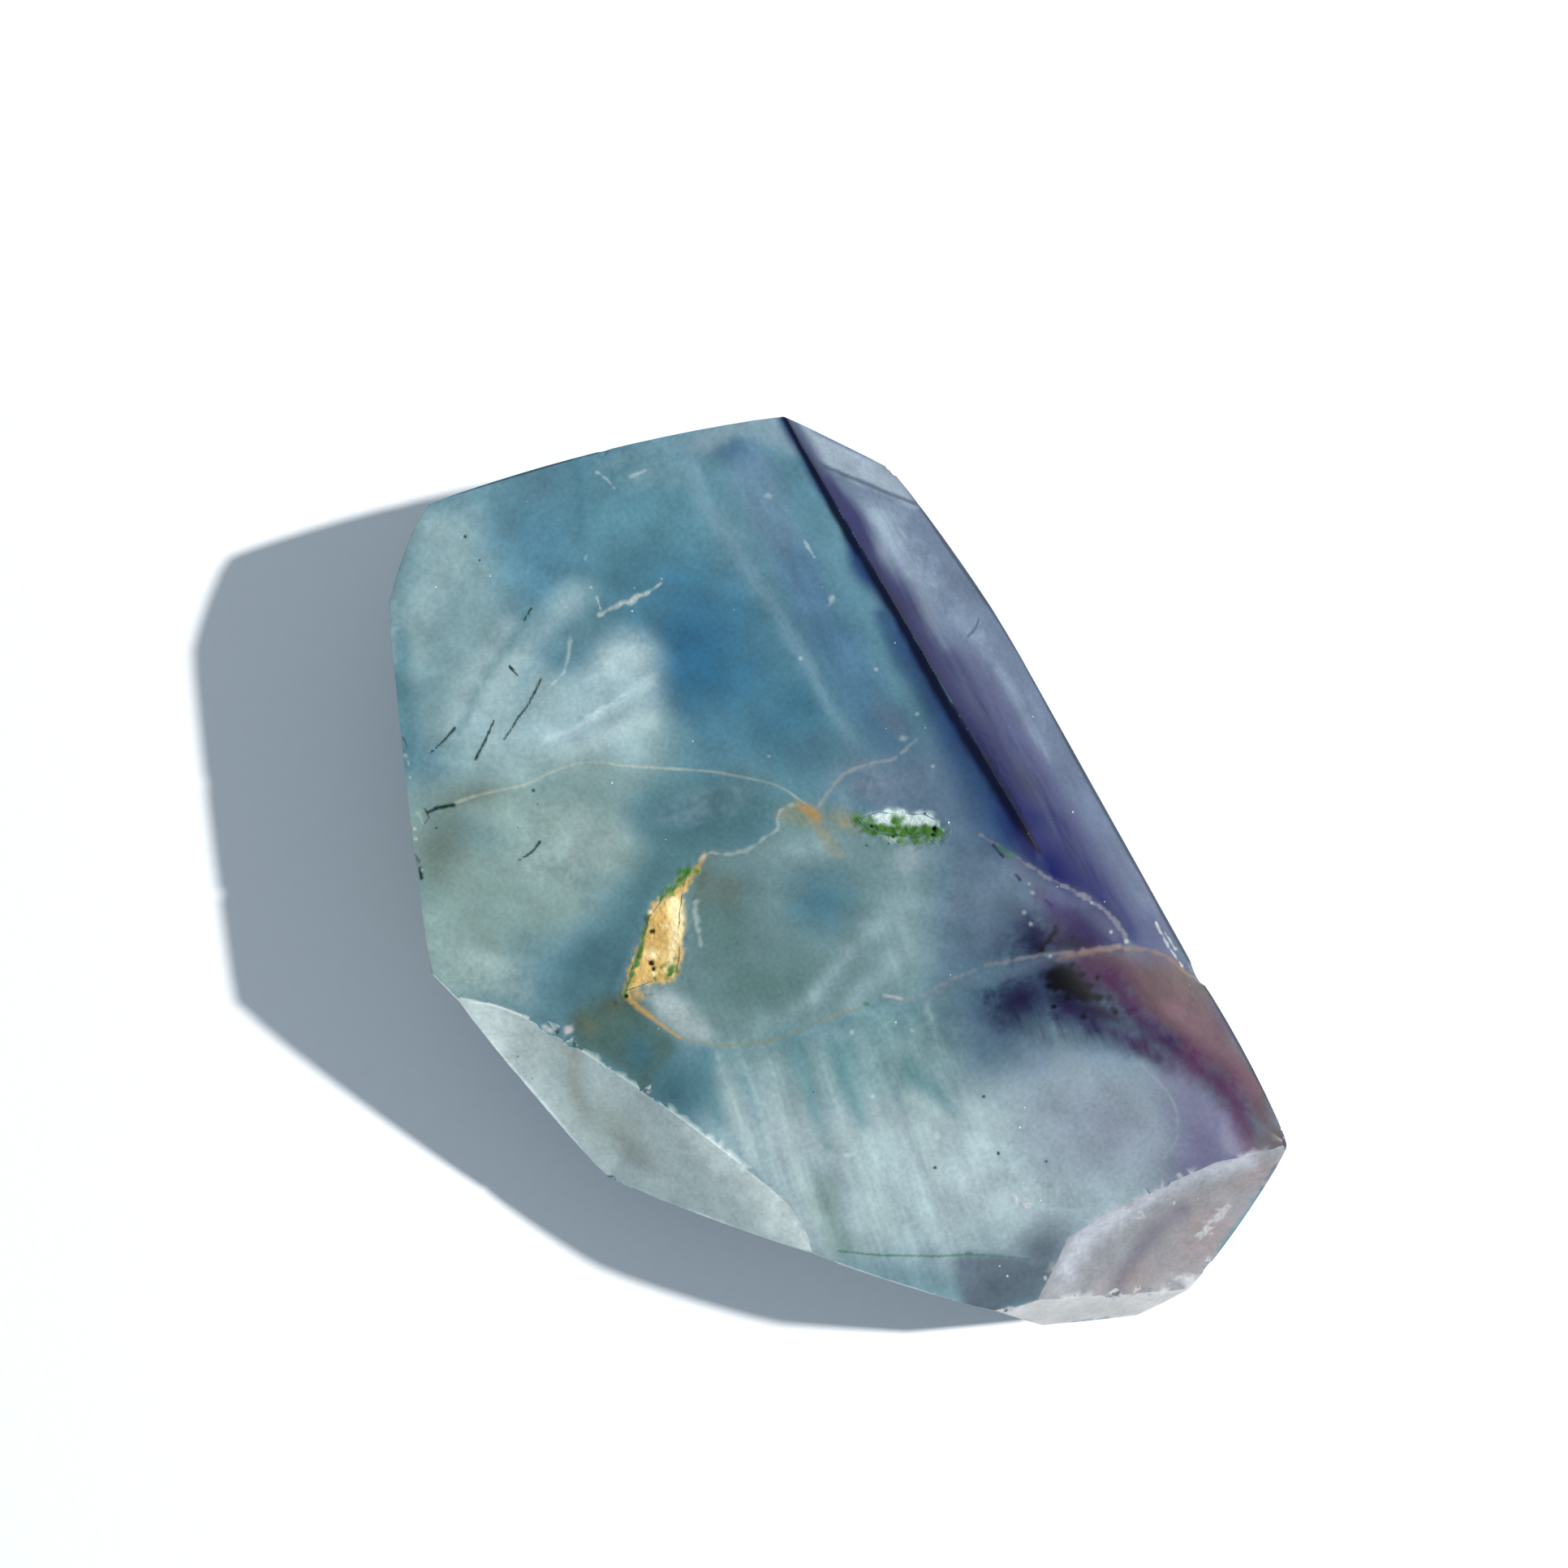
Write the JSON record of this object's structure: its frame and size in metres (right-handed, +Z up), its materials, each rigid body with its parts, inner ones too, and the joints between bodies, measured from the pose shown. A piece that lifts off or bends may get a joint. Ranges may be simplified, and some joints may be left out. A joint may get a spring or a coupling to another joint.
{
  "type": "fluorite freeform",
  "caption": "Flat palm-sized polished mineral freeform with hand-cut facets, a long straight bevel, bowed end facets and small crumbly pockets.",
  "frame": {"origin": "centre of the stone's footprint, on the flat base that it rests on", "axes": "+Z up out of the broad face; +Y along the long straight ridge, towards its sharp apex; +X towards the long bevel"},
  "size_m": [0.046, 0.0735, 0.0145],
  "materials": {
    "fluorite": "polished, translucent and cloudy, blue-green with white veils and violet zones"
  },
  "bodies": {
    "root": {"fluorite": "fluorite"}
  },
  "joints": []
}
